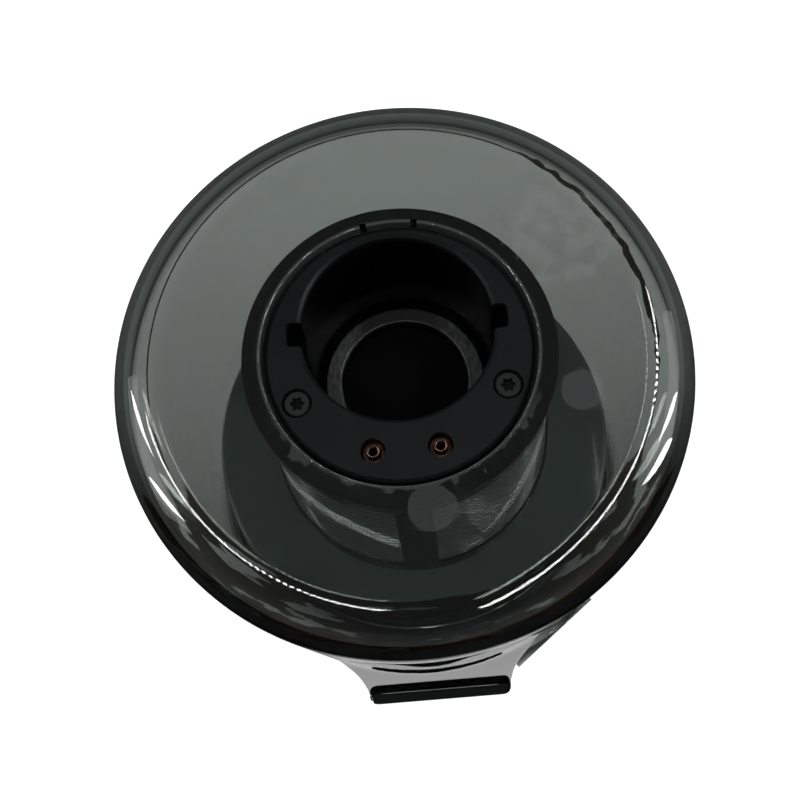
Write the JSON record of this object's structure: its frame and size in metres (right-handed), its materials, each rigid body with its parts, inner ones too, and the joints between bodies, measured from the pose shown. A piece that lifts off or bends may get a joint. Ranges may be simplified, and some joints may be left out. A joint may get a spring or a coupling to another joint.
{
  "type": "cyclone dust bin",
  "caption": "Clear smoke-grey cyclone dust bin of a stick vacuum cleaner, with a wand inlet in its face and a twist-out cyclone unit inside.",
  "frame": {"origin": "centre of the cup's rear rim, on the bin's axis, where the bin stands", "axes": "+Z along the bin's axis towards the wand inlet, -Y towards the latch lug"},
  "size_m": [0.1164, 0.1225, 0.112],
  "materials": {
    "clear_smoke": "clear smoke-grey moulded plastic, polished",
    "black_satin": "fine moulded satin",
    "black_gloss": "polished moulding",
    "grey_satin": "fine moulded satin",
    "dark_screw": "blackened steel",
    "copper": "bare drawn copper alloy",
    "wire_insulation": "smooth sleeve",
    "grey_rubber": "moulded rubber",
    "black_rubber": "moulded rubber",
    "steel_pin": "ground",
    "steel_mesh": "etched screen, darkened",
    "filter_paper": "pleated"
  },
  "bodies": {
    "bin": {"dust_cup": "clear_smoke"},
    "cyclone_unit": {"face_plate": "black_satin", "plate_screws": "dark_screw", "contact_sleeves": "copper", "contact_holder": "black_satin", "contact_wires": "wire_insulation", "rear_contact_block": "black_satin", "rear_contact_blades": "copper", "inlet_duct": "black_satin", "inlet_elbow": "black_satin", "inlet_seal": "grey_rubber", "flap_pin": "steel_pin", "front_gasket": "black_rubber", "mesh_screen": "steel_mesh", "shroud_frame": "black_gloss", "shroud_screws": "dark_screw", "cyclone_housing": "black_gloss", "cone_cluster": "black_satin", "cone_gasket": "black_rubber", "vortex_plate": "black_satin", "unit_screws": "dark_screw", "lock_ring": "grey_satin", "rear_seal": "black_rubber", "filter_frame": "grey_satin", "filter_media": "filter_paper", "filter_seal": "black_rubber"},
    "flap": {"inlet_flap": "black_rubber"}
  },
  "joints": [
    {"name": "twist_lock", "type": "hinge", "parent": "bin", "child": "cyclone_unit", "pos_m": [0, 0, 0], "axis": [0, 0, -1], "range_deg": [0, 22]},
    {"name": "flap_hinge", "type": "hinge", "parent": "cyclone_unit", "child": "flap", "pos_m": [-0.0162, 0.0051, 0.0719], "axis": [0, 1, 0], "range_deg": [0, 45], "stiffness_Nm_per_rad": 0.003, "springref_deg": -28.65}
  ]
}
